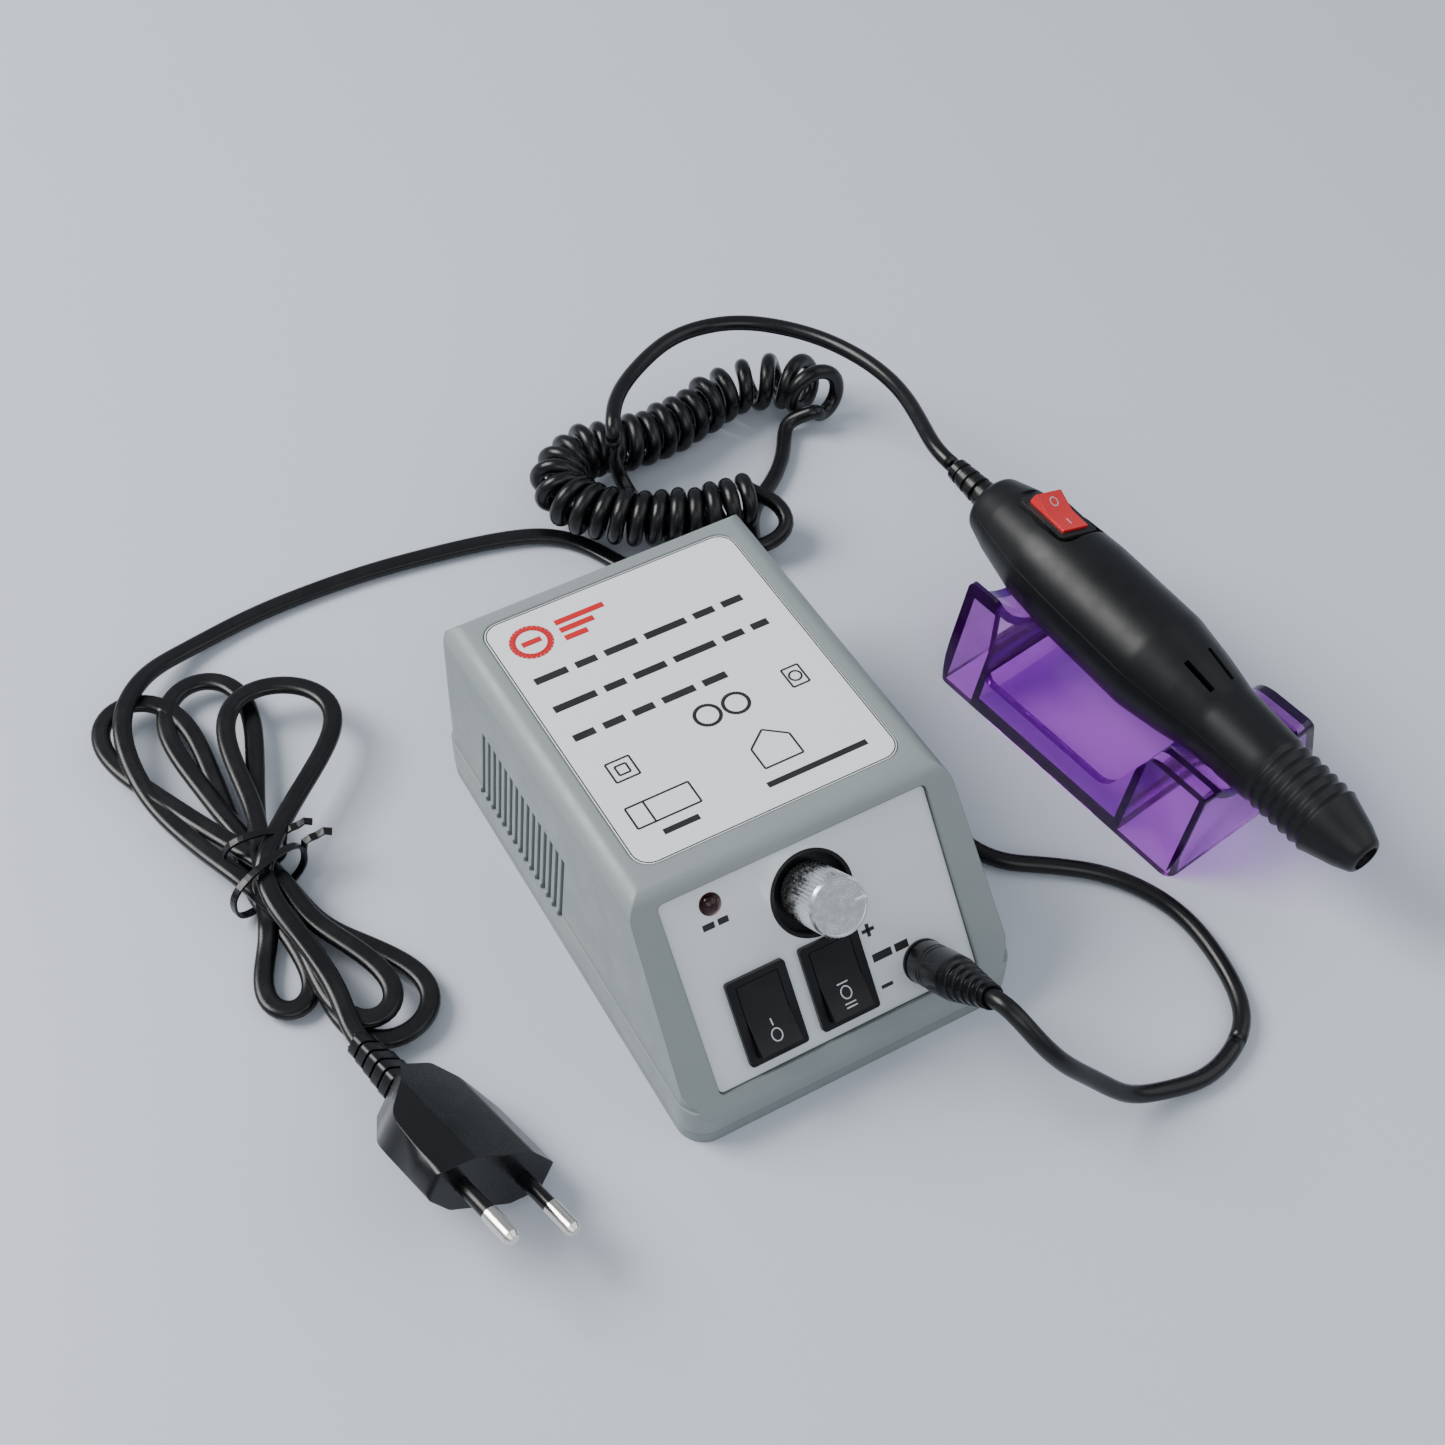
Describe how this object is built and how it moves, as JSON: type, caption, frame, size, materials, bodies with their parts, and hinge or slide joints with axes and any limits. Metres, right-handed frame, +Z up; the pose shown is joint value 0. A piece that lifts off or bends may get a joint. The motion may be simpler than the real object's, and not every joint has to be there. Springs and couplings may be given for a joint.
{
  "type": "electric nail drill set",
  "caption": "Mains control box with speed knob, rockers and DC jack, coiled cord to a pen-shaped rotary nail drill handpiece resting in a translucent cradle.",
  "frame": {"origin": "middle of the control box's underside, on the table", "axes": "+Z up, +X to the right of the control box seen from its panel, +Y towards its back"},
  "size_m": [0.27, 0.2582, 0.0543],
  "materials": {
    "grey_casing": "fine satin",
    "grey_base": "fine satin",
    "white_panel": "high gloss",
    "white_label": "satin film",
    "black_plastic": "fine texture",
    "black_casing": "soft satin",
    "red_rocker": "semi gloss",
    "red_lens": "polished",
    "knob_aluminium": "turned and knurled",
    "bright_steel": "plated",
    "plug_nickel": "nickel plated",
    "black_rubber": "satin pvc",
    "purple_acrylic": "clear tinted plastic",
    "core_iron": "laminated",
    "nylon": "moulded",
    "copper_wire": "enamelled",
    "board_green": "solder mask",
    "component_black": "moulded",
    "sink_aluminium": "extruded"
  },
  "bodies": {
    "control_box": {"housing": "grey_casing", "base_plate": "grey_base", "base_screws": "bright_steel", "front_panel": "white_panel", "top_label": "white_label", "knob_recess": "black_plastic", "power_lamp": "red_lens", "speed_pot": "component_black", "pot_nut": "bright_steel", "power_switch_case": "black_plastic", "polarity_switch_case": "black_plastic", "dc_jack": "black_plastic", "jack_nut": "bright_steel", "transformer_core": "core_iron", "transformer_bobbin": "nylon", "transformer_winding": "copper_wire", "transformer_strap": "bright_steel", "strap_screws": "bright_steel", "circuit_board": "board_green", "board_screws": "bright_steel", "rectifier_diodes": "component_black", "smoothing_capacitor": "component_black", "voltage_regulator": "component_black", "heat_sink": "sink_aluminium", "cable_grommet": "black_rubber", "mains_cable": "black_rubber", "twist_ties": "black_rubber", "mains_plug_body": "black_rubber", "mains_plug_pins": "plug_nickel", "mains_pin_sleeves": "black_rubber", "cord_lead": "black_rubber", "cord_coil": "black_rubber", "cord_tail": "black_rubber", "cradle": "purple_acrylic"},
    "speed_control": {"speed_knob": "knob_aluminium", "pot_shaft": "bright_steel"},
    "power_toggle": {"power_rocker": "black_plastic"},
    "polarity_toggle": {"polarity_rocker": "black_plastic"},
    "dc_plug": {"dc_plug_body": "black_rubber", "dc_plug_barrel": "plug_nickel"},
    "handpiece": {"handpiece_upper_shell": "black_casing", "handpiece_lower_shell": "black_casing", "handpiece_screws": "bright_steel", "handpiece_switch_case": "black_plastic", "cord_strain_relief": "black_rubber", "motor_can": "bright_steel", "motor_magnets": "core_iron", "motor_end_cap": "nylon", "motor_brushes": "copper_wire", "motor_bushes": "copper_wire", "nose_bearing": "bright_steel"},
    "handpiece_toggle": {"handpiece_rocker": "red_rocker"},
    "spindle": {"motor_shaft": "bright_steel", "rotor_core": "core_iron", "rotor_windings": "copper_wire", "commutator": "copper_wire", "bit_chuck": "bright_steel"}
  },
  "joints": [
    {"name": "speed_knob_turn", "type": "hinge", "parent": "control_box", "child": "speed_control", "pos_m": [0.0011, -0.04037, 0.03975], "axis": [0, -0.7944, 0.6074], "range_deg": [-60, 240]},
    {"name": "power_rocker_press", "type": "hinge", "parent": "control_box", "child": "power_toggle", "pos_m": [-0.0181, -0.0539, 0.02353], "axis": [1, 0, 0], "range_deg": [0, 20]},
    {"name": "polarity_rocker_press", "type": "hinge", "parent": "control_box", "child": "polarity_toggle", "pos_m": [0.0007, -0.0539, 0.02353], "axis": [1, 0, 0], "range_deg": [0, 20]},
    {"name": "dc_plug_pull", "type": "slide", "parent": "control_box", "child": "dc_plug", "axis": [0, -0.7944, 0.6074], "range_m": [0, 0.012], "deforming": ["cord_lead"]},
    {"name": "handpiece_lift", "type": "slide", "parent": "control_box", "child": "handpiece", "axis": [0, 0, 1], "range_m": [0, 0.06], "deforming": ["cord_tail"]},
    {"name": "handpiece_rocker_press", "type": "hinge", "parent": "handpiece", "child": "handpiece_toggle", "pos_m": [0.11328, 0.02626, 0.04475], "axis": [0.933, 0.1123, -0.3418], "range_deg": [-22, 0]},
    {"name": "spindle_spin", "type": "hinge", "parent": "handpiece", "child": "spindle", "pos_m": [0.11612, -0.03637, 0.03192], "axis": [0.1062, -0.9937, -0.0366], "continuous": true}
  ]
}
